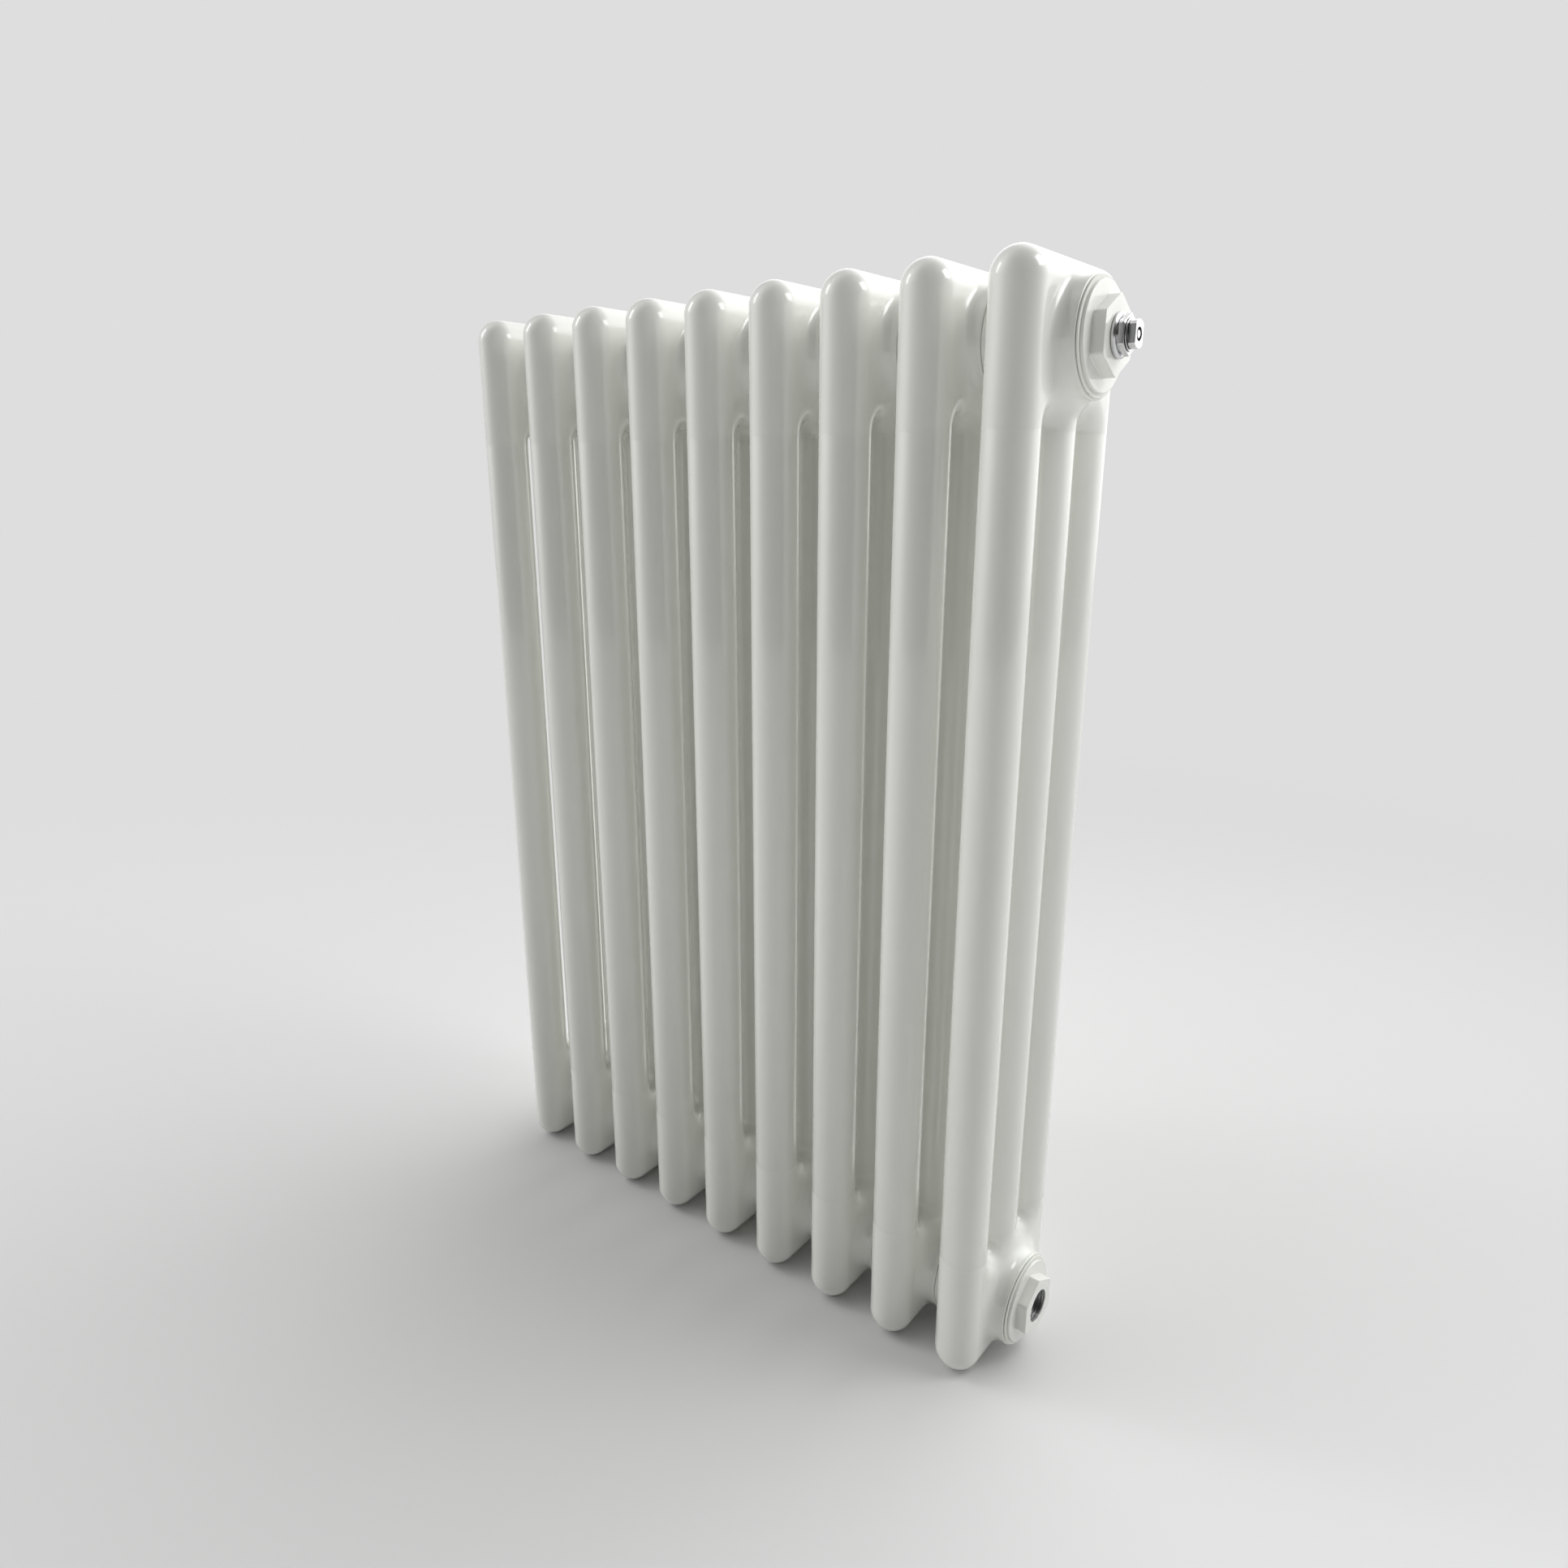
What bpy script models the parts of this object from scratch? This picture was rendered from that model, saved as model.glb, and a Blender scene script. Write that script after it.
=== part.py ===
"""Three-column tubular steel radiator with an air vent valve.

Nine welded sections stand side by side along X. Each section is a bottom head,
three upright tubes and a top head. The heads touch their neighbours at large
round hubs, which form the water ways at the top and at the bottom. The hub ends
are closed by screwed fittings with gaskets: a plug that holds the air vent, a
blank plug, and two bushes with an open thread for the pipes.

The origin is on the floor under the middle section. +X runs along the row to
the vent end, +Y to the wall, +Z up. All lengths are in metres.
"""
import math

import bmesh
import bpy
from mathutils import Vector

# Driving dimensions of the radiator body.
SECTIONS = 9
PITCH = 0.046
HEIGHT = 0.600
TUBE_RADIUS = 0.0135
COLUMN_PITCH = 0.0365
TUBE_WALL = 0.0012
HEAD_WALL = 0.0016
HEAD_HEIGHT = 0.066
TOP_HUB_INSET = 0.036
BOTTOM_HUB_INSET = 0.033
HUB_RADIUS = 0.0272
HUB_BORE_RADIUS = 0.0212
GAP = 0.0003

# Screwed fittings. Places along X are measured from the tube axis of the end section.
SHANK_RADIUS = 0.0208
SHANK_START = 0.0140
GASKET_RADIUS = 0.0262
FLANGE_RADIUS = 0.0241
FLANGE_BACK = 0.0243
FLANGE_FRONT = 0.0256
HEX_FLATS = 0.0314
HEX_CORNER_RADIUS = 0.0177
HEX_FRONT = 0.0318
PORT_RADIUS = 0.0096

# Air vent, on the axis of the top hub.
VENT_BORE_RADIUS = 0.0082
VENT_SHANK_RADIUS = 0.0078
VENT_SHANK_START = 0.0200
VENT_RING_RADIUS = 0.0099
VENT_RING_FRONT = 0.0340
VENT_NECK_RADIUS = 0.0074
VENT_HEX_BACK = 0.0346
VENT_HEX_FLATS = 0.0160
VENT_HEX_CORNER_RADIUS = 0.0089
VENT_HEX_FRONT = 0.0372
O_RING_GROOVE_BACK = 0.0290
O_RING_GROOVE_FRONT = 0.0308
O_RING_GROOVE_RADIUS = 0.0064
O_RING_RADIUS = 0.0079
INSERT_BORE_RADIUS = 0.0046
INSERT_SHANK_RADIUS = 0.0042
INSERT_START = 0.0230
INSERT_WASHER_RADIUS = 0.0072
INSERT_BACK = 0.0381
INSERT_RADIUS = 0.0062
INSERT_FLATS = 0.0090
INSERT_FRONT = 0.0412
SPINDLE_BORE_RADIUS = 0.00295
SPINDLE_THREAD_RADIUS = 0.0026
SPINDLE_NECK_RADIUS = 0.00175
SPINDLE_START = 0.0280
SPINDLE_NECK_START = 0.0350
SPINDLE_FRONT = 0.0410
SEAL_CONE_START = 0.0258
SEAL_CONE_TIP_RADIUS = 0.0013
SEAL_CONE_RADIUS = 0.0022
VENT_SEAT_FRONT = 0.0254
VENT_SEAT_RADIUS = 0.0011

# Facets: the count round a full circle, and round the coarse hollow of a head.
FACETS = 12
HOLLOW_FACETS = 8

COLUMNS = {"front": -COLUMN_PITCH, "middle": 0.0, "rear": COLUMN_PITCH}
END_SECTION_X = (SECTIONS - 1) / 2 * PITCH
TOP_HUB_Z = HEIGHT - TOP_HUB_INSET
CUT_OVERRUN = 0.002


def make_material(name, colour, roughness, metallic):
    """A plain Principled finish."""
    material = bpy.data.materials.new(name)
    material.use_nodes = True
    shader = material.node_tree.nodes["Principled BSDF"]
    shader.inputs["Base Color"].default_value = (*colour, 1.0)
    shader.inputs["Roughness"].default_value = roughness
    shader.inputs["Metallic"].default_value = metallic
    return material


def circle(radius, count=FACETS):
    """Corners of a regular polygon whose flats, not its corners, lie at the radius."""
    corner_radius = radius / math.cos(math.pi / count)
    angles = [(2 * step - 1) * math.pi / count for step in range(count)]
    return [(corner_radius * math.cos(a), corner_radius * math.sin(a)) for a in angles]


def hexagon(across_flats, corner_radius):
    """A hexagon with two upright flats and six cut corners, as twelve points."""
    half_flat = math.acos(across_flats / 2 / corner_radius)
    points = []
    for flat in range(6):
        for side in (-1, 1):
            angle = flat * math.pi / 3 + side * half_flat
            points.append((corner_radius * math.cos(angle), corner_radius * math.sin(angle)))
    return points


def two_flats(radius, across_flats):
    """A circle with a spanner flat on its front and on its rear side."""
    half = across_flats / 2
    return [(max(-half, min(half, y)), z) for y, z in circle(radius)]


def stadium(radius, level, count=FACETS):
    """A level outline round the line of the three columns, with half-round ends."""
    corner_radius = radius / math.cos(math.pi / count)
    points = []
    for end, first_step in ((COLUMN_PITCH, 0), (-COLUMN_PITCH, count // 2)):
        for step in range(first_step, first_step + count // 2):
            angle = (2 * step + 1) * math.pi / count
            x = corner_radius * math.cos(angle)
            y = end + corner_radius * math.sin(angle)
            points.append(Vector((x, y, level)))
    return points


def loft(name, rings, ring_shaped=False):
    """Skin a row of outlines with equal point counts; ring_shaped joins the last to the first."""
    mesh = bpy.data.meshes.new(name)
    shell = bmesh.new()
    loops = [[shell.verts.new(point) for point in ring] for ring in rings]
    pairs = list(zip(loops, loops[1:]))
    if ring_shaped:
        pairs.append((loops[-1], loops[0]))
    else:
        shell.faces.new(loops[0])
        shell.faces.new(loops[-1])
    count = len(loops[0])
    for lower, upper in pairs:
        for index in range(count):
            after = (index + 1) % count
            shell.faces.new((lower[index], lower[after], upper[after], upper[index]))
    bmesh.ops.recalc_face_normals(shell, faces=shell.faces)
    shell.to_mesh(mesh)
    shell.free()
    return mesh


def along_x(name, stations, ring_shaped=False):
    """Loft outlines given as (place along X, outline in Y and Z)."""
    rings = [[Vector((x, y, z)) for y, z in outline] for x, outline in stations]
    return loft(name, rings, ring_shaped)


def add_object(name, mesh, material, location=(0, 0, 0), rotation=(0, 0, 0)):
    """Place a mesh as a named object with one material and smooth round sides."""
    if not mesh.materials:
        mesh.materials.append(material)
    mesh.shade_smooth()
    mesh.set_sharp_from_angle(angle=math.radians(35))
    item = bpy.data.objects.new(name, mesh)
    item.location = location
    item.rotation_euler = rotation
    bpy.context.scene.collection.objects.link(item)
    return item


def combine(base, steps, name):
    """Run Boolean steps, each an operation and a tool mesh, and return the result as one mesh."""
    body = bpy.data.objects.new(name + "_base", base)
    bpy.context.scene.collection.objects.link(body)
    tools = []
    for operation, tool_mesh in steps:
        tool = bpy.data.objects.new(tool_mesh.name, tool_mesh)
        tool.hide_render = True
        tool.display_type = "WIRE"
        bpy.context.scene.collection.objects.link(tool)
        modifier = body.modifiers.new(operation, "BOOLEAN")
        modifier.operation = operation
        modifier.solver = "EXACT"
        modifier.object = tool
        tools.append(tool)
    depsgraph = bpy.context.evaluated_depsgraph_get()
    result = bpy.data.meshes.new_from_object(body.evaluated_get(depsgraph))
    result.name = name
    for item in [body, *tools]:
        bpy.data.objects.remove(item)
    return result


def pill(name, radius, end_level, open_level, count):
    """The body of a head: upright sides that round over to a blunt ridge at end_level."""
    half_step = math.pi / count
    corner_radius = radius / math.cos(half_step)
    axis_level = end_level + radius
    rings = [stadium(radius, open_level, count)]
    for step in range(count // 4):
        angle = (2 * step + 1) * half_step
        level = axis_level - corner_radius * math.sin(angle)
        rings.append(stadium(corner_radius * math.cos(angle), level, count))
    return loft(name, rings)


def shifted(outline, level):
    """An outline in Y and Z moved up to a hub's height."""
    return [(y, z + level) for y, z in outline]


def head_mesh(name, hub_inset):
    """A hollow head standing on its ridge: a pill, a hub through it, a bore, three tube mouths."""
    body = pill("head_body", TUBE_RADIUS, 0.0, HEAD_HEIGHT, FACETS)
    hub_half = PITCH / 2 - GAP / 2
    hub_outline = shifted(circle(HUB_RADIUS), hub_inset)
    bore_outline = shifted(circle(HUB_BORE_RADIUS), hub_inset)
    bore_half = PITCH / 2 + CUT_OVERRUN
    hub = along_x("hub", [(-hub_half, hub_outline), (hub_half, hub_outline)])
    bore = along_x("hub_bore", [(-bore_half, bore_outline), (bore_half, bore_outline)])
    hollow_radius = TUBE_RADIUS - HEAD_WALL
    hollow = pill("hollow", hollow_radius, HEAD_WALL, HEAD_HEIGHT - HEAD_WALL, HOLLOW_FACETS)
    steps = [("UNION", hub), ("DIFFERENCE", hollow), ("DIFFERENCE", bore)]
    mouth_radius = TUBE_RADIUS - 2 * HEAD_WALL
    for column, y in COLUMNS.items():
        levels = (HEAD_HEIGHT - CUT_OVERRUN - HEAD_WALL, HEAD_HEIGHT + CUT_OVERRUN)
        outline = circle(mouth_radius, HOLLOW_FACETS)
        rings = [[Vector((a, y + b, level)) for a, b in outline] for level in levels]
        steps.append(("DIFFERENCE", loft(column + "_mouth", rings)))
    return combine(body, steps, name)


def tube_mesh():
    """An open tube that ends just short of both heads."""
    low = HEAD_HEIGHT + GAP
    high = HEIGHT - HEAD_HEIGHT - GAP
    outer = circle(TUBE_RADIUS)
    inner = circle(TUBE_RADIUS - TUBE_WALL)
    rows = ((outer, low), (outer, high), (inner, high), (inner, low))
    rings = [[Vector((x, y, level)) for x, y in outline] for outline, level in rows]
    return loft("tube", rings, ring_shaped=True)


def flanged_fitting(name, bore_radius):
    """A screwed fitting with a flange and a hexagon, open or blank along its axis."""
    shank = circle(SHANK_RADIUS)
    flange = circle(FLANGE_RADIUS)
    hexagonal = hexagon(HEX_FLATS, HEX_CORNER_RADIUS)
    stations = [
        (SHANK_START, shank),
        (FLANGE_BACK, shank),
        (FLANGE_BACK, flange),
        (FLANGE_FRONT, flange),
        (FLANGE_FRONT, hexagonal),
        (HEX_FRONT, hexagonal),
    ]
    if bore_radius:
        bore = circle(bore_radius)
        stations += [(HEX_FRONT, bore), (SHANK_START, bore)]
    return along_x(name, stations, ring_shaped=bool(bore_radius))


def gasket_mesh():
    """A flat ring between a hub's end and a fitting's flange."""
    back = PITCH / 2 - GAP / 2 + GAP
    front = FLANGE_BACK - GAP
    outer = circle(GASKET_RADIUS)
    inner = circle(HUB_BORE_RADIUS)
    stations = [(back, outer), (front, outer), (front, inner), (back, inner)]
    return along_x("gasket", stations, ring_shaped=True)


def vent_plug_mesh():
    """The vent's main body: a grooved shank, a round ring, a neck and a hexagon."""
    shank = circle(VENT_SHANK_RADIUS)
    groove = circle(O_RING_GROOVE_RADIUS)
    ring = circle(VENT_RING_RADIUS)
    neck = circle(VENT_NECK_RADIUS)
    hexagonal = hexagon(VENT_HEX_FLATS, VENT_HEX_CORNER_RADIUS)
    bore = circle(INSERT_BORE_RADIUS)
    ring_back = HEX_FRONT + GAP
    stations = [
        (VENT_SHANK_START, shank),
        (O_RING_GROOVE_BACK, shank),
        (O_RING_GROOVE_BACK, groove),
        (O_RING_GROOVE_FRONT, groove),
        (O_RING_GROOVE_FRONT, shank),
        (ring_back, shank),
        (ring_back, ring),
        (VENT_RING_FRONT, ring),
        (VENT_RING_FRONT, neck),
        (VENT_HEX_BACK, neck),
        (VENT_HEX_BACK, hexagonal),
        (VENT_HEX_FRONT, hexagonal),
        (VENT_HEX_FRONT, bore),
        (VENT_SHANK_START, bore),
    ]
    return along_x("vent_plug", stations, ring_shaped=True)


def ring_mesh(name, back, front, inner_radius, outer_radius):
    """A plain sealing ring on the vent's axis, clear of its neighbours."""
    inner = circle(inner_radius + GAP)
    outer = circle(outer_radius)
    low = back + GAP
    high = front - GAP
    stations = [(low, outer), (high, outer), (high, inner), (low, inner)]
    return along_x(name, stations, ring_shaped=True)


def vent_insert_mesh():
    """The vent's nose with two spanner flats, bored for the spindle down to a seat."""
    shank = circle(INSERT_SHANK_RADIUS)
    nose = two_flats(INSERT_RADIUS, INSERT_FLATS)
    bore = circle(SPINDLE_BORE_RADIUS)
    seat = circle(VENT_SEAT_RADIUS)
    stations = [
        (INSERT_START, shank),
        (INSERT_BACK, shank),
        (INSERT_BACK, nose),
        (INSERT_FRONT, nose),
        (INSERT_FRONT, bore),
        (VENT_SEAT_FRONT, bore),
        (VENT_SEAT_FRONT, seat),
        (INSERT_START, seat),
    ]
    return along_x("vent_insert", stations, ring_shaped=True)


def spindle_mesh():
    """The vent screw: a threaded foot and a thin neck that a key reaches."""
    foot = circle(SPINDLE_THREAD_RADIUS)
    neck = circle(SPINDLE_NECK_RADIUS)
    stations = [
        (SPINDLE_START, foot),
        (SPINDLE_NECK_START, foot),
        (SPINDLE_NECK_START, neck),
        (SPINDLE_FRONT, neck),
    ]
    return along_x("vent_spindle", stations)


def seal_cone_mesh():
    """The soft cone that closes the vent's seat."""
    tip = circle(SEAL_CONE_TIP_RADIUS)
    base = circle(SEAL_CONE_RADIUS)
    stations = [(SEAL_CONE_START, tip), (SPINDLE_START - GAP, base)]
    return along_x("vent_seal_cone", stations)


def build_sections(paint):
    """Nine sections of two heads and three tubes; equal pieces share one mesh."""
    bottom_head = head_mesh("bottom_head", BOTTOM_HUB_INSET)
    top_head = head_mesh("top_head", TOP_HUB_INSET)
    tube = tube_mesh()
    for section in range(1, SECTIONS + 1):
        x = (section - 1) * PITCH - END_SECTION_X
        add_object(f"bottom_head_{section}", bottom_head, paint, (x, 0, 0))
        add_object(f"top_head_{section}", top_head, paint, (x, 0, HEIGHT), (math.pi, 0, 0))
        for column, y in COLUMNS.items():
            add_object(f"{column}_tube_{section}", tube, paint, (x, y, 0))


def build_port(side, turn, x, paint, rubber):
    """A threaded bush and its gasket at the bottom of one end."""
    bush = flanged_fitting(side + "_port_bush", PORT_RADIUS)
    place = (x, 0, BOTTOM_HUB_INSET)
    add_object(side + "_port_bush", bush, paint, place, turn)
    add_object(side + "_port_gasket", gasket_mesh(), rubber, place, turn)


def build_top_fittings(left_turn, paint, rubber):
    """The vent's carrier plug at the right, the blank plug at the left."""
    right = (END_SECTION_X, 0, TOP_HUB_Z)
    left = (-END_SECTION_X, 0, TOP_HUB_Z)
    carrier = flanged_fitting("vent_carrier_plug", VENT_BORE_RADIUS)
    add_object("vent_carrier_plug", carrier, paint, right)
    add_object("vent_carrier_gasket", gasket_mesh(), rubber, right)
    add_object("blank_plug", flanged_fitting("blank_plug", None), paint, left, left_turn)
    add_object("blank_plug_gasket", gasket_mesh(), rubber, left, left_turn)


def build_vent(chrome, brass, rubber):
    """The air vent valve; the spindle's empty and origin lie on its axis."""
    place = (END_SECTION_X, 0, TOP_HUB_Z)
    o_ring = ring_mesh("vent_o_ring", O_RING_GROOVE_BACK, O_RING_GROOVE_FRONT,
                       O_RING_GROOVE_RADIUS, O_RING_RADIUS)
    washer = ring_mesh("vent_insert_washer", VENT_HEX_FRONT, INSERT_BACK,
                       INSERT_BORE_RADIUS, INSERT_WASHER_RADIUS)
    add_object("vent_plug", vent_plug_mesh(), chrome, place)
    add_object("vent_o_ring", o_ring, rubber, place)
    add_object("vent_insert", vent_insert_mesh(), chrome, place)
    add_object("vent_insert_washer", washer, chrome, place)
    travel = bpy.data.objects.new("vent_screw_axis", None)
    travel.location = place
    bpy.context.scene.collection.objects.link(travel)
    cone = add_object("vent_seal_cone", seal_cone_mesh(), rubber)
    spindle = add_object("vent_spindle", spindle_mesh(), brass)
    cone.parent = travel
    spindle.parent = travel


def build():
    """Empty the scene and build the whole radiator."""
    for item in list(bpy.data.objects):
        bpy.data.objects.remove(item)
    paint = make_material("white_paint", (0.82, 0.83, 0.79), 0.22, 0.0)
    chrome = make_material("bright_nickel", (0.72, 0.72, 0.73), 0.16, 1.0)
    brass = make_material("plated_brass", (0.80, 0.79, 0.76), 0.25, 1.0)
    rubber = make_material("seal_rubber", (0.06, 0.06, 0.06), 0.70, 0.0)
    white_seal = make_material("white_seal", (0.80, 0.81, 0.78), 0.45, 0.0)
    facing_left = (0, 0, math.pi)
    build_sections(paint)
    build_port("right", (0, 0, 0), END_SECTION_X, paint, white_seal)
    build_port("left", facing_left, -END_SECTION_X, paint, white_seal)
    build_top_fittings(facing_left, paint, white_seal)
    build_vent(chrome, brass, rubber)


build()
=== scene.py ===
# %% [markdown]
# # A white column radiator with its air vent
# The radiator is nine welded sections side by side. Each section is a top head, a bottom head and
# three upright tubes. Round hubs join the heads, and fittings are screwed into the hubs' ends: at
# the right end a plug with the air vent at the top and an open threaded bush at the bottom. The
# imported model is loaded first. It is the fixed frame, so every size below is read from it.

# %% Load the frame
import math

import bmesh
import bpy
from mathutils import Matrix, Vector


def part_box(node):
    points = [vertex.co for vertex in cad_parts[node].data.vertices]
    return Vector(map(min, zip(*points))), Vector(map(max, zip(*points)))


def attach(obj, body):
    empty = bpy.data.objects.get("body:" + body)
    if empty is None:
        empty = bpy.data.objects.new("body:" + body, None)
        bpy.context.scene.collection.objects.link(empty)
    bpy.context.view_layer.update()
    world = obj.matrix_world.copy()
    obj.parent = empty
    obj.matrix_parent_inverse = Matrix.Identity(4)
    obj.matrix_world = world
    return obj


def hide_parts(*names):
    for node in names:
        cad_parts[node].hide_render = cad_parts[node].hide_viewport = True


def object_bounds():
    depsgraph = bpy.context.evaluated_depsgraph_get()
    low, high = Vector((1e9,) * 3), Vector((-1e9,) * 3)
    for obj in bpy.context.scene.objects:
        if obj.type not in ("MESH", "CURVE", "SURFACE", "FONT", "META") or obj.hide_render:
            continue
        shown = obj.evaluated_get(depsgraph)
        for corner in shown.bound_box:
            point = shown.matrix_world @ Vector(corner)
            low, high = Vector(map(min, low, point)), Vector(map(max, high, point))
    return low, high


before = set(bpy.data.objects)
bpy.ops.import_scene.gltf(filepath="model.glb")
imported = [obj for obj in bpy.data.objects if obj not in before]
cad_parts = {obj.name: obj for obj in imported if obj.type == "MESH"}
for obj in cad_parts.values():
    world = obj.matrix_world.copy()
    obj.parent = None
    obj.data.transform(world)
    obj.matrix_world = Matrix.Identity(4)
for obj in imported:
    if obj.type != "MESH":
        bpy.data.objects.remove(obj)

MM = 0.001
cad_low, cad_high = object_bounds()
print("box in mm:", [round((b - a) / MM, 1) for a, b in zip(cad_low, cad_high)])

# %% [markdown]
# ## The camera
# The camera goes in early, so that every later step can be looked at. It stands near the vent end,
# a little lower than the upper hubs, and looks down with a wide lens, so the near end is tall.

# %% Camera
LOOKS_DOWN = 16.309
TURNED_LEFT = 38.918
camera_data = bpy.data.cameras.new("camera")
camera_data.lens = 24.0
camera_data.sensor_width = 36.0
camera = bpy.data.objects.new("camera", camera_data)
camera.location = (0.41714, -0.48847, 0.50265)
camera.rotation_euler = (math.radians(90 - LOOKS_DOWN), 0, math.radians(TURNED_LEFT))
bpy.context.scene.collection.objects.link(camera)
bpy.context.scene.camera = camera
print("camera stands at", [round(value, 3) for value in camera.location])

# %% [markdown]
# ## Sizes from the frame
# The tubes give the pitch and the tube radius, and the gaskets give the two hub axes. Reading them
# here means that a repacked model moves every piece with it. The hubs' own radii are given.

# %% Places and sizes
def middle(node):
    """The centre of a node's box."""
    low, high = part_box(node)
    return (low + high) / 2


def length_of(node, axis):
    """The size of a node's box along one axis."""
    low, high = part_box(node)
    return high[axis] - low[axis]


section_x = [middle(f"front_tube_{number}").x for number in range(1, 10)]
pitch = section_x[1] - section_x[0]
end_x = section_x[-1]
tube_radius = length_of("front_tube_5", 0) / 2
reach = -middle("front_tube_5").y
bottom_hub = middle("right_port_gasket").z
top_hub = middle("vent_carrier_gasket").z
hub_radius = 27.2 * MM
hub_bore = 21.2 * MM
hub_end = length_of("top_head_5", 0) / 2
top_inset = cad_high.z - top_hub
bottom_inset = bottom_hub - cad_low.z
print("pitch, tube radius, reach, hub insets in mm:",
      [round(v / MM, 2) for v in (pitch, tube_radius, reach, top_inset, bottom_inset)])

# %% [markdown]
# ## Helpers for node trees
# A tree is built from small parts: `put` adds one node and wires it, `maths` and `length` add one
# sum. `wire` and `new_tree` join the sockets. The same helpers serve shape trees and finish trees.

# %% Tree helpers: wires and nodes
def wire(tree, socket, feed):
    """Join a socket to another socket, or give it a value."""
    if isinstance(feed, bpy.types.NodeSocket):
        tree.links.new(feed, socket)
    elif feed is not None:
        socket.default_value = feed


def put(tree, kind, feeds=(), **settings):
    """Add a node. feeds is a list in socket order, or a dict by socket name."""
    node = tree.nodes.new(kind)
    for key, value in settings.items():
        setattr(node, key, value)
    pairs = feeds.items() if isinstance(feeds, dict) else enumerate(feeds)
    for socket, feed in pairs:
        wire(tree, node.inputs[socket], feed)
    return node


# %% Tree helpers: sums
def maths(tree, operation, *feeds):
    """One sum on numbers."""
    return put(tree, "ShaderNodeMath", feeds, operation=operation).outputs[0]


def length(tree, *feeds):
    """The length of the vector that two or three numbers make."""
    vector = put(tree, "ShaderNodeCombineXYZ", feeds).outputs[0]
    return put(tree, "ShaderNodeVectorMath", [vector], operation="LENGTH").outputs["Value"]


# %% Tree helpers: sockets
def new_tree(name, kind, inputs, outputs):
    """A tree with named sockets. inputs are (name, type, default); outputs are (name, type)."""
    tree = bpy.data.node_groups.new(name, kind)
    for label, sort, value in inputs:
        socket = tree.interface.new_socket(label, in_out="INPUT", socket_type="NodeSocket" + sort)
        if value is not None:
            socket.default_value = value
    for label, sort in outputs:
        tree.interface.new_socket(label, in_out="OUTPUT", socket_type="NodeSocket" + sort)
    start = tree.nodes.new("NodeGroupInput").outputs
    end = tree.nodes.new("NodeGroupOutput").inputs
    return tree, start, end


print("tree helpers:", [helper.__name__ for helper in (wire, put, maths, length, new_tree)])

# %% [markdown]
# ## Finishes: shared effects
# Three effects are used by more than one finish, so each is a node group: the faint ripple of a
# sprayed coat, the fine lines that a lathe leaves round an axis, and the uneven bloom of dust and
# hands. They put out plain masks and heights, and each finish decides how much of them it shows.

# %% Shared effect groups
def coat_ripple():
    """The faint orange peel of a powder coat, as a height."""
    tree, start, end = new_tree("coat_ripple", "ShaderNodeTree",
                                [("Place", "Vector", None), ("Size", "Float", 600.0)],
                                [("Height", "Float")])
    wide = put(tree, "ShaderNodeTexNoise", {"Vector": start["Place"], "Scale": start["Size"],
                                            "Detail": 1.5, "Roughness": 0.4})
    broad = maths(tree, "MULTIPLY", start["Size"], 0.22)
    swell = put(tree, "ShaderNodeTexNoise", {"Vector": start["Place"], "Scale": broad,
                                             "Detail": 1.0, "Roughness": 0.5})
    wire(tree, end["Height"], maths(tree, "MULTIPLY_ADD", swell.outputs[0], 1.6, wide.outputs[0]))
    return tree


def lathe_lines():
    """Fine rings round the X axis through a given height, as a height."""
    tree, start, end = new_tree("lathe_lines", "ShaderNodeTree",
                                [("Place", "Vector", None), ("Axis Height", "Float", 0.0),
                                 ("Density", "Float", 9000.0)], [("Height", "Float")])
    split = put(tree, "ShaderNodeSeparateXYZ", [start["Place"]]).outputs
    up = maths(tree, "SUBTRACT", split[2], start["Axis Height"])
    radius = length(tree, split[1], up)
    along = put(tree, "ShaderNodeCombineXYZ", [split[0], radius, 0.0]).outputs[0]
    lines = put(tree, "ShaderNodeTexNoise", {"Vector": along, "Scale": start["Density"],
                                             "Detail": 2.0, "Roughness": 0.6})
    wire(tree, end["Height"], lines.outputs[0])
    return tree


def uneven_bloom():
    """Soft cloudy patches, 0 to 1, for colour and gloss that vary a little."""
    tree, start, end = new_tree("uneven_bloom", "ShaderNodeTree",
                                [("Place", "Vector", None), ("Size", "Float", 22.0)],
                                [("Mask", "Float")])
    cloud = put(tree, "ShaderNodeTexNoise", {"Vector": start["Place"], "Scale": start["Size"],
                                             "Detail": 4.0, "Roughness": 0.55})
    spread = put(tree, "ShaderNodeMapRange", {"Value": cloud.outputs[0], "From Min": 0.32,
                                              "From Max": 0.68})
    wire(tree, end["Mask"], spread.outputs[0])
    return tree


effects = {"ripple": coat_ripple(), "lines": lathe_lines(), "bloom": uneven_bloom()}
print("effect groups:", sorted(effects))

# %% [markdown]
# ## Finishes: the materials
# Six finishes: the glossy white coat, the satin sealing rings, bright nickel, plated brass, rubber
# and the bare cut steel of the pipe threads. Colours and gloss vary a little through the shared
# groups, and what is the same all over is set on the shader itself.

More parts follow.
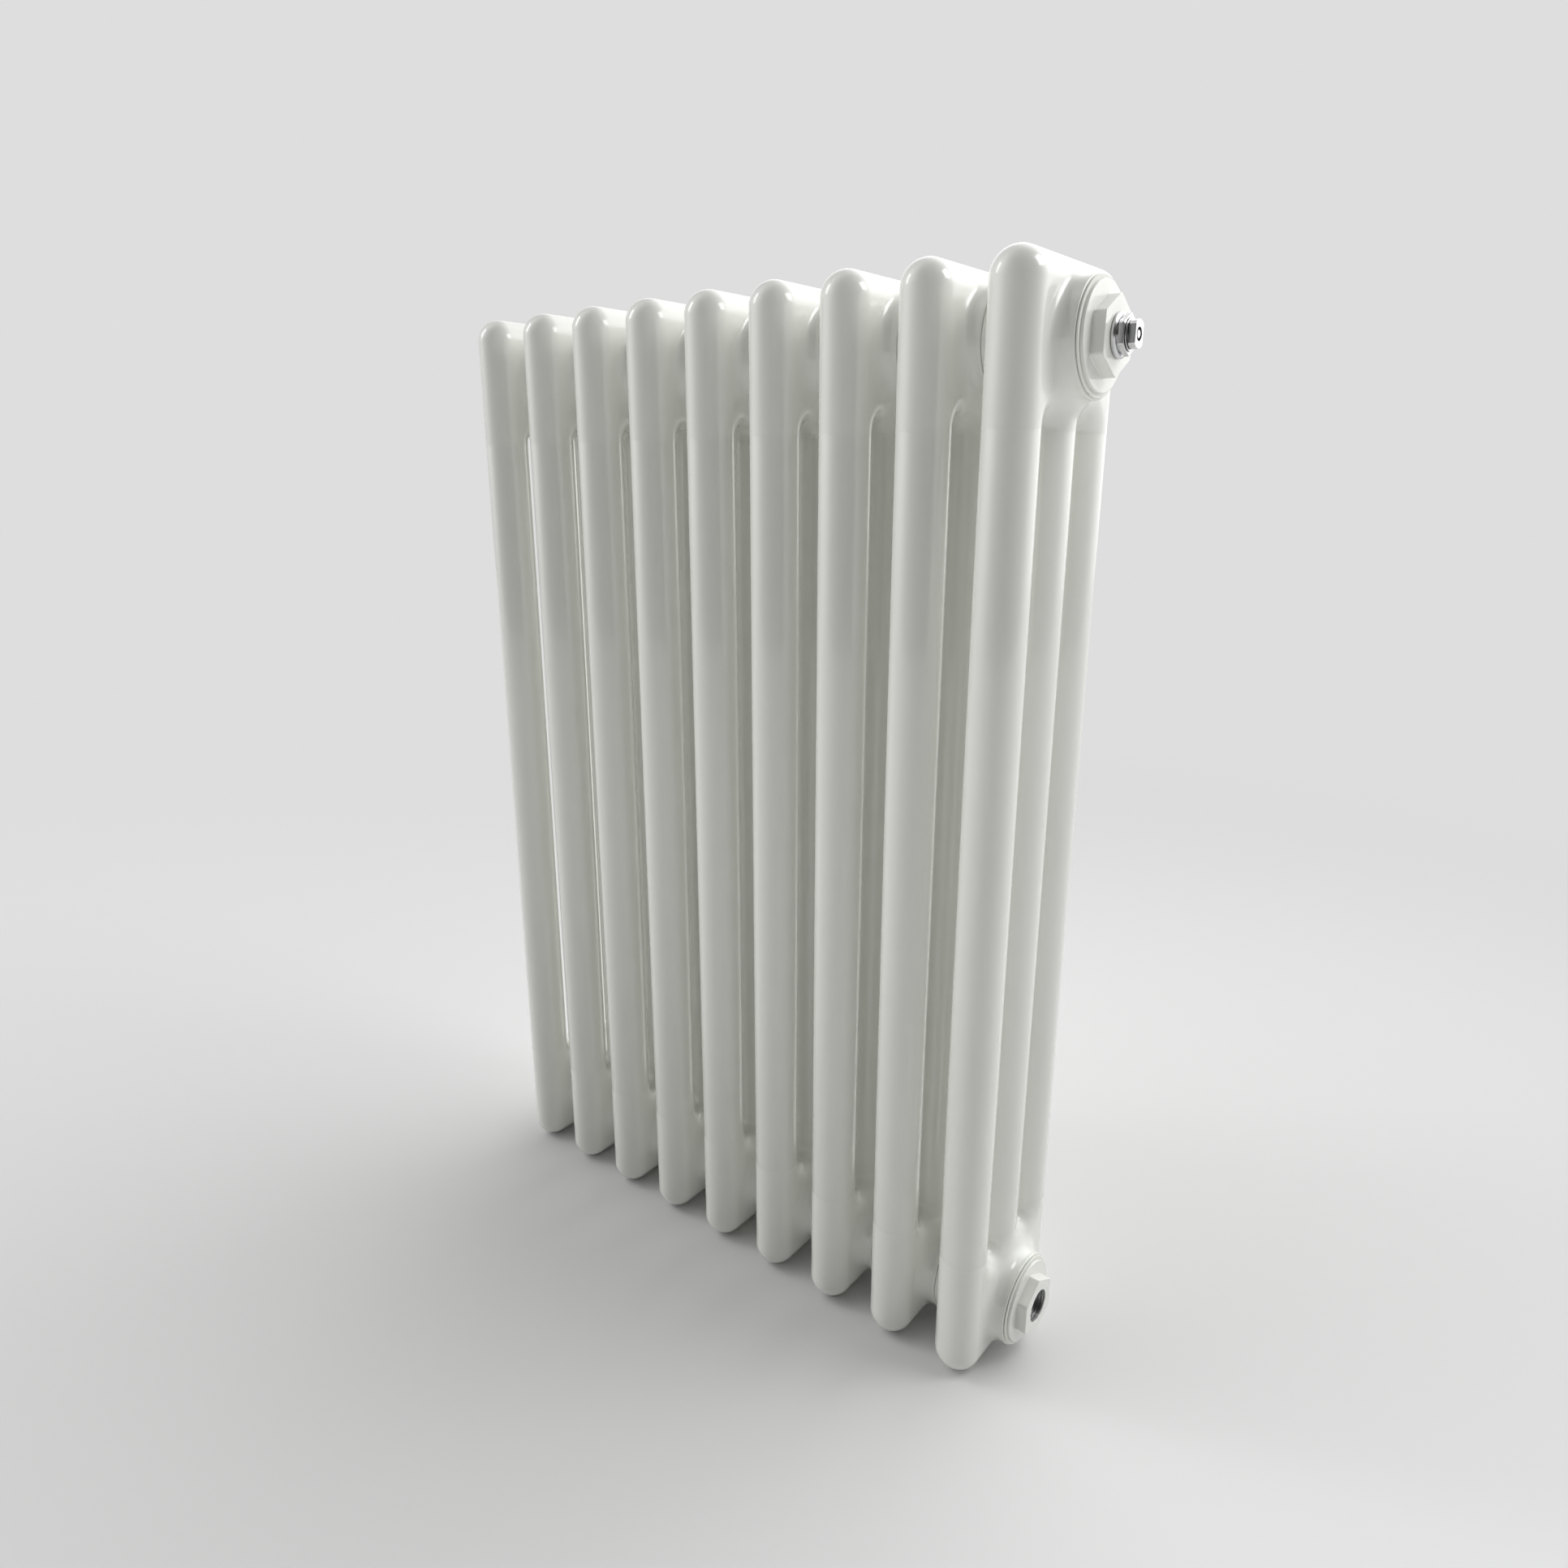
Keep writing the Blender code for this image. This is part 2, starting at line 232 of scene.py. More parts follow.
# %% Material builder
def finish(name, dark, light, gloss, bump, **fixed):
    """A Principled finish whose colour, from dark to light, and gloss follow the bloom mask."""
    material = bpy.data.materials.new(name)
    material.use_nodes = True
    tree = material.node_tree
    shader = tree.nodes["Principled BSDF"]
    place = put(tree, "ShaderNodeTexCoord").outputs["Object"]
    bloom = put(tree, "ShaderNodeGroup", node_tree=effects["bloom"])
    wire(tree, bloom.inputs["Place"], place)
    mask = bloom.outputs["Mask"]
    tint = put(tree, "ShaderNodeMix", data_type="RGBA")
    for socket, feed in ((0, mask), (6, (*dark, 1.0)), (7, (*light, 1.0))):
        wire(tree, tint.inputs[socket], feed)
    wire(tree, shader.inputs["Base Color"], tint.outputs[2])
    rough = put(tree, "ShaderNodeMapRange", {"Value": mask, "To Min": gloss[0], "To Max": gloss[1]})
    wire(tree, shader.inputs["Roughness"], rough.outputs[0])
    effect, settings, depth = bump
    relief = put(tree, "ShaderNodeGroup", node_tree=effects[effect])
    for socket, feed in {"Place": place, **settings}.items():
        wire(tree, relief.inputs[socket], feed)
    bumped = put(tree, "ShaderNodeBump", {"Height": relief.outputs["Height"], "Distance": depth,
                                          "Strength": 1.0})
    wire(tree, shader.inputs["Normal"], bumped.outputs[0])
    for socket, value in fixed.items():
        shader.inputs[socket.replace("_", " ").title()].default_value = value
    return material


finishes = {
    "white_paint": finish("white_powder_coat", (0.880, 0.888, 0.838), (0.892, 0.900, 0.852),
                          (0.15, 0.20), ("ripple", {"Size": 420.0}, 4e-6), coat_weight=0.6,
                          coat_roughness=0.04),
    "white_seal": finish("white_sealing_ring", (0.850, 0.860, 0.800), (0.870, 0.880, 0.822),
                         (0.34, 0.44), ("ripple", {"Size": 900.0}, 4e-6)),
    "bright_nickel": finish("bright_nickel", (0.66, 0.66, 0.67), (0.74, 0.74, 0.75), (0.20, 0.28),
                            ("lines", {"Axis Height": top_hub}, 1.2e-6), metallic=1.0),
    "plated_brass": finish("plated_brass", (0.70, 0.69, 0.66), (0.78, 0.77, 0.74), (0.20, 0.30),
                           ("lines", {"Axis Height": top_hub}, 1.2e-6), metallic=1.0),
    "seal_rubber": finish("seal_rubber", (0.020, 0.020, 0.021), (0.035, 0.035, 0.036),
                          (0.55, 0.70), ("ripple", {"Size": 1500.0}, 6e-6)),
    "cut_steel": finish("cut_thread_steel", (0.34, 0.34, 0.34), (0.46, 0.46, 0.46), (0.24, 0.34),
                        ("lines", {"Axis Height": bottom_hub}, 1.5e-6), metallic=1.0),
}
print("finishes:", sorted(finishes))

# %% [markdown]
# ## The head's shape as a rule
# A head is a pressed shell: three tube stumps that melt into a flat web with a round ridge, and a
# round hub through it with a generous fillet. Such soft joints are hard to draw face by face, but
# easy to say as a distance: how far a point is from the skin. The web is a tube swept along a line
# that opens into three legs; the hub is a cylinder; a round union blends them. Geometry Nodes then
# fill a volume with that distance, take its skin, and slide each corner exactly onto the rule.

# %% The distance rule
HEAD_SIZES = [
    ("Centre X", "Float", 0.0), ("Hub Height", "Float", top_hub), ("Outward", "Float", 1.0),
    ("Tube Radius", "Float", tube_radius), ("Reach", "Float", reach), ("Ridge", "Float", 20 * MM),
    ("Arch", "Float", -40 * MM), ("Hub Radius", "Float", hub_radius - 0.02 * MM),
    ("Hub Half", "Float", 22 * MM), ("Bore Radius", "Float", hub_bore),
    ("Fillet", "Float", 8.2 * MM), ("Ridge Fillet", "Float", 4.2 * MM),
]


def head_distance():
    """The distance from a place to a head's skin, negative inside."""
    tree, start, end = new_tree("head_distance", "GeometryNodeTree",
                                [("Place", "Vector", None)] + HEAD_SIZES, [("Distance", "Float")])
    split = put(tree, "ShaderNodeSeparateXYZ", [start["Place"]]).outputs
    x = maths(tree, "SUBTRACT", split[0], start["Centre X"])
    y = maths(tree, "ABSOLUTE", split[1])
    up = maths(tree, "SUBTRACT", split[2], start["Hub Height"])
    z = maths(tree, "MULTIPLY", up, start["Outward"])
    half = maths(tree, "MULTIPLY", start["Reach"], 0.5)
    above_arch = maths(tree, "MAXIMUM", maths(tree, "SUBTRACT", z, start["Arch"]), 0.0)
    from_slot = length(tree, maths(tree, "SUBTRACT", y, half), above_arch)
    legs = maths(tree, "MAXIMUM", maths(tree, "SUBTRACT", half, from_slot), 0.0)
    beyond = maths(tree, "MAXIMUM", maths(tree, "SUBTRACT", y, start["Reach"]), 0.0)
    over = maths(tree, "MAXIMUM", maths(tree, "SUBTRACT", z, start["Ridge"]), 0.0)
    web = maths(tree, "SUBTRACT", length(tree, x, maths(tree, "ADD", legs, beyond), over),
                start["Tube Radius"])
    from_axis = length(tree, y, z)
    side = maths(tree, "SUBTRACT", maths(tree, "ABSOLUTE", x), start["Hub Half"])
    hub = maths(tree, "MAXIMUM", maths(tree, "SUBTRACT", from_axis, start["Hub Radius"]), side)
    ease = put(tree, "ShaderNodeMapRange",
               {"Value": z, "From Min": 0.0, "From Max": start["Ridge"],
                "To Min": start["Fillet"], "To Max": start["Ridge Fillet"]},
               interpolation_type="SMOOTHSTEP").outputs[0]
    near_web = maths(tree, "MAXIMUM", maths(tree, "SUBTRACT", ease, web), 0.0)
    near_hub = maths(tree, "MAXIMUM", maths(tree, "SUBTRACT", ease, hub), 0.0)
    outer = maths(tree, "MAXIMUM", ease, maths(tree, "MINIMUM", web, hub))
    joined = maths(tree, "SUBTRACT", outer, length(tree, near_web, near_hub))
    bore = maths(tree, "SUBTRACT", start["Bore Radius"], from_axis)
    wire(tree, end["Distance"], maths(tree, "MAXIMUM", joined, bore))
    return tree


distance_rule = head_distance()
print("distance rule:", len(distance_rule.nodes), "nodes")

# %% The slope of the distance
def ask_rule(tree, start, rule, place, output):
    """Place a copy of a rule group, with every head size passed on to it."""
    node = put(tree, "GeometryNodeGroup", node_tree=rule)
    wire(tree, node.inputs["Place"], place)
    for label, _sort, _value in HEAD_SIZES:
        wire(tree, node.inputs[label], start[label])
    return node.outputs[output]


def head_slope(step=0.05 * MM):
    """The direction in which the distance grows, which is the skin's normal."""
    tree, start, end = new_tree("head_slope", "GeometryNodeTree",
                                [("Place", "Vector", None)] + HEAD_SIZES, [("Slope", "Vector")])
    parts = []
    for axis in range(3):
        shift = [0.0, 0.0, 0.0]
        shift[axis] = step
        probes = []
        for operation in ("ADD", "SUBTRACT"):
            spot = put(tree, "ShaderNodeVectorMath", [start["Place"], shift], operation=operation)
            probes.append(ask_rule(tree, start, distance_rule, spot.outputs[0], "Distance"))
        parts.append(maths(tree, "SUBTRACT", *probes))
    slope = put(tree, "ShaderNodeCombineXYZ", parts).outputs[0]
    wire(tree, end["Slope"], put(tree, "ShaderNodeVectorMath", [slope],
                                 operation="NORMALIZE").outputs[0])
    return tree


slope_rule = head_slope()
print("slope rule:", len(slope_rule.nodes), "nodes")

# %% [markdown]
# ## From the rule to a skin
# Volume Cube samples the rule, and Volume to Mesh draws the skin through it. Its corners lie a
# little off the true shape, so two Set Position nodes move each one along the slope by its own
# distance. The slope is also the exact normal, which Set Mesh Normal keeps, so highlights run
# without dents.

# %% The head's tree
CELL = 1.3 * MM
SKIN_LEVEL = 10 * MM
MARGIN = 2.5 * MM
NEAR_SKIN = 0.6 * MM


def head_tree():
    """A whole head at its place, from the stumps' cut ends to the ridge."""
    tree, start, end = new_tree(
        "pressed_head", "GeometryNodeTree",
        [("Geometry", "Geometry", None), ("Cell", "Float", CELL), ("Stump", "Float", -43 * MM),
         ("Coat", "Material", None)] + HEAD_SIZES, [("Geometry", "Geometry")])
    place = put(tree, "GeometryNodeInputPosition").outputs[0]
    distance = ask_rule(tree, start, distance_rule, place, "Distance")
    height = put(tree, "ShaderNodeSeparateXYZ", [place]).outputs[2]
    up = maths(tree, "MULTIPLY", maths(tree, "SUBTRACT", height, start["Hub Height"]),
               start["Outward"])
    cut = maths(tree, "SUBTRACT", start["Stump"], up)
    body = maths(tree, "MAXIMUM", distance, cut)
    density = maths(tree, "SUBTRACT", SKIN_LEVEL, body)
    deep = maths(tree, "ADD", start["Reach"], maths(tree, "ADD", start["Tube Radius"], MARGIN))
    wide = maths(tree, "ADD", start["Hub Half"], MARGIN)
    top = maths(tree, "ADD", start["Ridge"], maths(tree, "ADD", start["Tube Radius"], MARGIN))
    low = maths(tree, "SUBTRACT", start["Stump"], MARGIN)
    ends = [maths(tree, "MULTIPLY_ADD", level, start["Outward"], start["Hub Height"])
            for level in (low, top)]
    bottom = maths(tree, "MINIMUM", *ends)
    lid = maths(tree, "MAXIMUM", *ends)
    corners = []
    for operation, level in (("SUBTRACT", bottom), ("ADD", lid)):
        side = maths(tree, operation, start["Centre X"], wide)
        face = maths(tree, operation, 0.0, deep)
        corners.append(put(tree, "ShaderNodeCombineXYZ", [side, face, level]).outputs[0])
    counts = []
    for size in (maths(tree, "MULTIPLY", wide, 2.0), maths(tree, "MULTIPLY", deep, 2.0),
                 maths(tree, "SUBTRACT", lid, bottom)):
        counts.append(maths(tree, "CEIL", maths(tree, "DIVIDE", size, start["Cell"])))
    volume = put(tree, "GeometryNodeVolumeCube",
                 {"Density": density, "Background": 0.0, "Min": corners[0], "Max": corners[1],
                  "Resolution X": counts[0], "Resolution Y": counts[1], "Resolution Z": counts[2]})
    skin = put(tree, "GeometryNodeVolumeToMesh",
               {"Volume": volume.outputs[0], "Threshold": SKIN_LEVEL,
                "Adaptivity": 0.0}).outputs[0]
    slope = ask_rule(tree, start, slope_rule, place, "Slope")
    back = maths(tree, "MULTIPLY", distance, -1.0)
    offset = put(tree, "ShaderNodeVectorMath", {0: slope, "Scale": back},
                 operation="SCALE").outputs[0]
    near = put(tree, "FunctionNodeCompare", {0: maths(tree, "ABSOLUTE", distance), 1: NEAR_SKIN},
               operation="LESS_THAN").outputs[0]
    for _turn in range(2):
        skin = put(tree, "GeometryNodeSetPosition", {"Geometry": skin, "Selection": near,
                                                     "Offset": offset}).outputs[0]
    smooth = put(tree, "GeometryNodeSetShadeSmooth", {"Geometry": skin}).outputs[0]
    normals = put(tree, "GeometryNodeSetMeshNormal", mode="FREE", domain="POINT")
    wire(tree, normals.inputs["Mesh"], smooth)
    wire(tree, normals.inputs["Custom Normal"], slope)
    coated = put(tree, "GeometryNodeSetMaterial", {"Geometry": normals.outputs[0],
                                                   "Material": start["Coat"]})
    real = put(tree, "GeometryNodeRealizeInstances", {"Geometry": coated.outputs[0]})
    wire(tree, end["Geometry"], real.outputs[0])
    return tree


pressed_head = head_tree()
print("head tree:", len(pressed_head.nodes), "nodes")

# %% [markdown]
# ## Turning a tree into a piece
# A modifier carries the tree on an empty mesh. Its inputs are set by each socket's identifier
# before Blender first evaluates it. `new_from_object` then makes the result a plain mesh, and the
# modifier's own object goes away, so what is kept has nothing live on it.

# %% A plain mesh from a tree
def grown(name, tree, **sizes):
    """Run a Geometry Nodes tree with the given inputs and keep its result as a plain piece."""
    seed_mesh = bpy.data.meshes.new(name + "_seed")
    seed = bpy.data.objects.new(name + "_seed", seed_mesh)
    bpy.context.scene.collection.objects.link(seed)
    modifier = seed.modifiers.new("tree", "NODES")
    modifier.node_group = tree
    sockets = {item.name: item.identifier for item in tree.interface.items_tree
               if item.in_out == "INPUT"}
    for label, value in sizes.items():
        modifier[sockets[label.replace("_", " ")]] = value
    bpy.context.view_layer.update()
    result = seed.evaluated_get(bpy.context.evaluated_depsgraph_get())
    mesh = bpy.data.meshes.new_from_object(result)
    bpy.data.objects.remove(seed)
    bpy.data.meshes.remove(seed_mesh)
    mesh.name = name
    piece = bpy.data.objects.new(name, mesh)
    bpy.context.scene.collection.objects.link(piece)
    return piece


# %% Placing a piece
def settle(piece, body, slot, *nodes):
    """Put a piece on its body, hide the nodes it stands for, and count it. The slot is not used."""
    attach(piece, body)
    if nodes:
        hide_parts(*nodes)
    faces = sum(len(polygon.vertices) - 2 for polygon in piece.data.polygons)
    print(f"{piece.name}: {faces} triangles on {body}")
    return piece


# %% [markdown]
# ## The heads
# Top and bottom heads are the same pressing, but their hubs lie at different heights, so the
# ridge, the arches between the legs and the stumps' ends are all counted from the radiator's own
# end.

# %% The eighteen heads
white = finishes["white_paint"]
ARCH_FROM_END = 75 * MM
STUMP_FROM_END = 77 * MM
TUBE_FROM_END = 74 * MM
for number, x in enumerate(section_x, start=1):
    for row, hub, outward, inset in (("top", top_hub, 1.0, top_inset),
                                     ("bottom", bottom_hub, -1.0, bottom_inset)):
        name = f"{row}_head_{number}"
        skin = grown(f"{row}_pressed_head_{number}", pressed_head, Centre_X=x, Hub_Height=hub,
                     Outward=outward, Ridge=inset - tube_radius, Arch=inset - ARCH_FROM_END,
                     Stump=inset - STUMP_FROM_END, Coat=white)
        settle(skin, "radiator", "white_paint", name)

# %% [markdown]
# ## Rows of tubes and hub rings
# Both are one turned ring, repeated along the row. A tube is a tall ring with a thin wall, a hub
# ring is a short one with rounded rims that leaves a fine groove where two sections meet. One tree
# makes both: it sweeps a rounded rectangle round a circle and sets it on every point of a line.

# %% The ring row tree
def ring_row_tree():
    """A row of equal rings. Their own axis is Z, or X if Lying is 1."""
    tree, start, end = new_tree(
        "ring_row", "GeometryNodeTree",
        [("Geometry", "Geometry", None), ("First", "Vector", None), ("Step", "Vector", None),
         ("Count", "Int", 9), ("Outer Radius", "Float", 0.01), ("Wall", "Float", 0.001),
         ("Length", "Float", 0.1), ("Rim", "Float", 0.0005), ("Around", "Int", 64),
         ("Lying", "Float", 0.0), ("Coat", "Material", None)], [("Geometry", "Geometry")])
    half_wall = maths(tree, "MULTIPLY", start["Wall"], 0.5)
    mid = maths(tree, "SUBTRACT", start["Outer Radius"], half_wall)
    circle = put(tree, "GeometryNodeCurvePrimitiveCircle", {"Resolution": start["Around"],
                                                            "Radius": mid}).outputs[0]
    outline = put(tree, "GeometryNodeCurvePrimitiveQuadrilateral",
                  {"Width": start["Wall"], "Height": start["Length"]}).outputs[0]
    softened = put(tree, "GeometryNodeFilletCurve", {"Curve": outline, "Radius": start["Rim"],
                                                     "Limit Radius": True}, mode="POLY")
    softened.inputs["Count"].default_value = 3
    ring = put(tree, "GeometryNodeCurveToMesh", {"Curve": circle,
                                                 "Profile Curve": softened.outputs[0]}).outputs[0]
    turn = put(tree, "ShaderNodeCombineXYZ",
               [0.0, maths(tree, "MULTIPLY", start["Lying"], math.pi / 2), 0.0]).outputs[0]
    line = put(tree, "GeometryNodeMeshLine",
               {"Count": start["Count"], "Start Location": start["First"],
                "Offset": start["Step"]}).outputs[0]
    row = put(tree, "GeometryNodeInstanceOnPoints", {"Points": line, "Instance": ring,
                                                     "Rotation": turn}).outputs[0]
    real = put(tree, "GeometryNodeRealizeInstances", {"Geometry": row}).outputs[0]
    angle = put(tree, "GeometryNodeInputMeshEdgeAngle").outputs["Unsigned Angle"]
    gentle = put(tree, "FunctionNodeCompare", {0: angle, 1: math.radians(40)},
                 operation="LESS_THAN").outputs[0]
    smooth = put(tree, "GeometryNodeSetShadeSmooth", {"Geometry": real}).outputs[0]
    edges = put(tree, "GeometryNodeSetShadeSmooth", {"Geometry": smooth, "Shade Smooth": gentle},
                domain="EDGE").outputs[0]
    coated = put(tree, "GeometryNodeSetMaterial", {"Geometry": edges, "Material": start["Coat"]})
    wire(tree, end["Geometry"], coated.outputs[0])
    return tree


ring_row = ring_row_tree()
print("ring row tree:", len(ring_row.nodes), "nodes")

# %% Three rows of nine tubes
UNDER_HEAD = 0.02 * MM
TUBE_WALL = 1.2 * MM
tube_low = cad_low.z + TUBE_FROM_END
tube_high = cad_high.z - TUBE_FROM_END
tube_mid = (tube_low + tube_high) / 2
for column, y in (("front", -reach), ("middle", 0.0), ("rear", reach)):
    row = grown(f"{column}_tube_row", ring_row, First=(section_x[0], y, tube_mid),
                Step=(pitch, 0.0, 0.0), Outer_Radius=tube_radius - UNDER_HEAD, Wall=TUBE_WALL,
                Length=tube_high - tube_low, Rim=0.2 * MM, Coat=white)
    settle(row, "radiator", "white_paint", *[f"{column}_tube_{n}" for n in range(1, 10)])

# %% Hub rings at both ends of every head
RING_WIDTH = 2.4 * MM
RING_RIM = 0.7 * MM
for row_name, hub in (("top", top_hub), ("bottom", bottom_hub)):
    for side_name, side in (("left", -1), ("right", 1)):
        first = section_x[0] + side * (hub_end - RING_WIDTH / 2)
        rings = grown(f"{row_name}_hub_rings_{side_name}", ring_row, First=(first, 0.0, hub),
                      Step=(pitch, 0.0, 0.0), Outer_Radius=hub_radius, Wall=hub_radius - hub_bore,
                      Length=RING_WIDTH, Rim=RING_RIM, Around=96, Lying=1.0, Coat=white)
        settle(rings, "radiator", "white_paint")

# %% [markdown]
# ## Turned and hexagonal fittings
# Plugs, bushes and the vent are made on a lathe, with spanner hexagons or flats milled on them.
# Each is a list of outlines along the axis, skinned into one closed shell. An outline is a circle,
# a hexagon with soft corners or a circle with two flats, and it can be drawn slightly smaller,
# which is how the rims get their rounding. Hexagons keep their corners up and down and their flats
# to front and back.

# %% Outlines
POINTS = 96
SIDE_STEPS = 10
CORNER_STEPS = 6


def ring(radius):
    """A circle's outline; the argument of what it gives back is how much to draw it in."""
    def outline(inset):
        size = (radius - inset) * MM
        return [(size * math.cos(math.tau * k / POINTS), size * math.sin(math.tau * k / POINTS))
                for k in range(POINTS)]
    return outline


def hexagon(across_flats, corner):
    """A hexagon's outline with rounded corners, its flats facing +Y and -Y."""
    def outline(inset):
        soft = max(corner - inset, 0.05)
        flat = across_flats / 2 - inset
        hub = (flat - soft) / math.cos(math.pi / 6)
        half_side = hub * math.sin(math.pi / 6)
        points = []
        for face in range(6):
            turn = face * math.pi / 3
            for step in range(SIDE_STEPS):
                points.append((flat, half_side * (2 * step / SIDE_STEPS - 1), turn))
            for step in range(CORNER_STEPS):
                bend = math.pi / 3 * step / CORNER_STEPS
                points.append((hub * math.cos(math.pi / 6) + soft * math.cos(bend),
                               half_side + soft * math.sin(bend), turn))
        made = [(MM * (a * math.cos(t) - b * math.sin(t)), MM * (a * math.sin(t) + b * math.cos(t)))
                for a, b, t in points]
        half = SIDE_STEPS // 2
        return made[half:] + made[:half]
    return outline


def two_flats(radius, across_flats):
    """A circle's outline with a spanner flat to the front and to the rear."""
    def outline(inset):
        size, half = radius - inset, across_flats / 2 - inset
        points = []
        for k in range(POINTS):
            angle = math.tau * k / POINTS
            y, z = size * math.cos(angle), size * math.sin(angle)
            points.append((MM * max(-half, min(half, y)), MM * z))
        return points
    return outline


# %% Stations along the axis
def wall(x, outline):
    """One sharp station."""
    return [(x, outline(0.0))]


def rim(x, outline, radius, facing, outer=1, to_face=True):
    """A rounded rim: from the wall to the face that looks along facing, or the other way."""
    bends = (0, 30, 60, 90)
    made = []
    for bend in (bends if to_face else bends[::-1]):
        turn = math.radians(bend)
        made.append((x - facing * radius * (1 - math.sin(turn)),
                     outline(outer * radius * (1 - math.cos(turn)))))
    return made


print("a sharp station and a rounded rim:", len(wall(0.0, ring(1.0))), "and",
      len(rim(0.0, ring(1.0), 0.1, 1)), "outlines of", POINTS, "points")

# %% Skinning a fitting
def turned(name, stations, hub, side, material, ring_shaped=False):
    """Skin outlines along the axis of a hub at one end of the radiator."""
    mesh = bpy.data.meshes.new(name)
    form = bmesh.new()
    rings = []
    for x, points in stations:
        rings.append([form.verts.new((side * (end_x + x * MM), side * y, hub + z))
                      for y, z in points])
    pairs = list(zip(rings, rings[1:] + ([rings[0]] if ring_shaped else [])))
    for first, second in pairs:
        for k in range(POINTS):
            j = (k + 1) % POINTS
            form.faces.new((first[k], first[j], second[j], second[k]))
    if not ring_shaped:
        form.faces.new(rings[0])
        form.faces.new(rings[-1])
    bmesh.ops.remove_doubles(form, verts=form.verts, dist=1e-7)
    bmesh.ops.dissolve_degenerate(form, dist=1e-7, edges=form.edges)
    bmesh.ops.recalc_face_normals(form, faces=form.faces)
    for face in form.faces:
        face.smooth = True
    for edge in form.edges:
        edge.smooth = len(edge.link_faces) == 2 and edge.calc_face_angle(0) < math.radians(40)
    form.to_mesh(mesh)
    form.free()
    mesh.materials.append(material)
    piece = bpy.data.objects.new(name, mesh)
    bpy.context.scene.collection.objects.link(piece)
    weighted = piece.modifiers.new("even_light", "WEIGHTED_NORMAL")
    weighted.keep_sharp = True
    weighted.weight = 90
    return piece


def flatten(piece):
    """Keep a piece's modifiers in its mesh and take them off."""
    result = piece.evaluated_get(bpy.context.evaluated_depsgraph_get())
    mesh = bpy.data.meshes.new_from_object(result)
    piece.modifiers.clear()
    piece.data = mesh
    return piece


# %% [markdown]
# ## Plugs, bushes and sealing rings
# All four hub ends have the same fitting: a shank, a round flange that presses a white sealing
# ring on the hub's rim, and a hexagon for the spanner. The coat on them is as thick as on the
# radiator, so their edges are soft. The two lower ones are bored for a half-inch pipe.

# %% Sizes of the screwed fittings, in mm from the end tubes' axis
SHANK = ring(20.8)
FLANGE = ring(24.1)
SPANNER = hexagon(31.4, 2.4)
SPANNER_FOOT = hexagon(32.0, 2.7)
INNER_END = 14.0
SEAL_BACK = 23.15
FLANGE_BACK = 24.0
FLANGE_FRONT = 25.6
FOOT_FRONT = 25.95
HEX_FRONT = 31.8
BORE_FRONT = 30.6
MOUTH_BACK = 31.0
VENT_BORE = 8.2
PORT_BORE = 10.75
PORT_MOUTH = 9.65
SEAL = ring(26.2)
SEAL_HOLE = ring(21.3)
print("a fitting's hexagon is", round(HEX_FRONT - FLANGE_FRONT, 2), "mm long")


# %% The four screwed fittings
def fitting(name, hub, side, bore=None, mouth=0.0):
    """A flanged hexagon fitting, blank or with a bore whose front has a wider, soft mouth."""
    stations = wall(INNER_END, SHANK) + wall(FLANGE_BACK, SHANK)
    stations += rim(FLANGE_BACK, FLANGE, 0.30, -1, to_face=False)
    stations += rim(FLANGE_FRONT, FLANGE, 0.50, 1)
    stations += wall(FLANGE_FRONT, SPANNER_FOOT) + wall(FOOT_FRONT, SPANNER)
    stations += rim(HEX_FRONT, SPANNER, 0.40, 1)
    if bore:
        stations += rim(HEX_FRONT, ring(mouth), 0.25, 1, outer=-1, to_face=False)
        stations += wall(MOUTH_BACK, ring(mouth)) + wall(BORE_FRONT, ring(bore))
        stations += wall(INNER_END, ring(bore))
    piece = turned(name, stations, hub, side, white, ring_shaped=bool(bore))
    return settle(flatten(piece), "radiator", "white_paint", name.replace("_fitting", ""))


fitting("vent_carrier_plug_fitting", top_hub, 1, bore=VENT_BORE, mouth=VENT_BORE)
fitting("blank_plug_fitting", top_hub, -1)
fitting("right_port_bush_fitting", bottom_hub, 1, bore=PORT_BORE, mouth=PORT_MOUTH)
fitting("left_port_bush_fitting", bottom_hub, -1, bore=PORT_BORE, mouth=PORT_MOUTH)

# %% The four sealing rings
seal_white = finishes["white_seal"]
for node, hub, side in (("vent_carrier_gasket", top_hub, 1), ("blank_plug_gasket", top_hub, -1),
                        ("right_port_gasket", bottom_hub, 1), ("left_port_gasket", bottom_hub, -1)):
    stations = rim(SEAL_BACK, SEAL, 0.2, -1, to_face=False) + rim(FLANGE_BACK, SEAL, 0.35, 1)
    stations += wall(FLANGE_BACK, SEAL_HOLE) + wall(SEAL_BACK, SEAL_HOLE)
    piece = turned(node.replace("gasket", "seal"), stations, hub, side, seal_white,
                   ring_shaped=True)
    settle(flatten(piece), "radiator", "white_seal", node)

# %% [markdown]
# ## The pipe threads
# A thread is one groove that climbs round the bore, so it follows a rule: the radius at a point
# depends on its angle and on how far along the bore it lies. The tree sweeps a long rectangle
# round a circle, which makes a closed sleeve, and then moves only its inner side in and out by
# that rule.

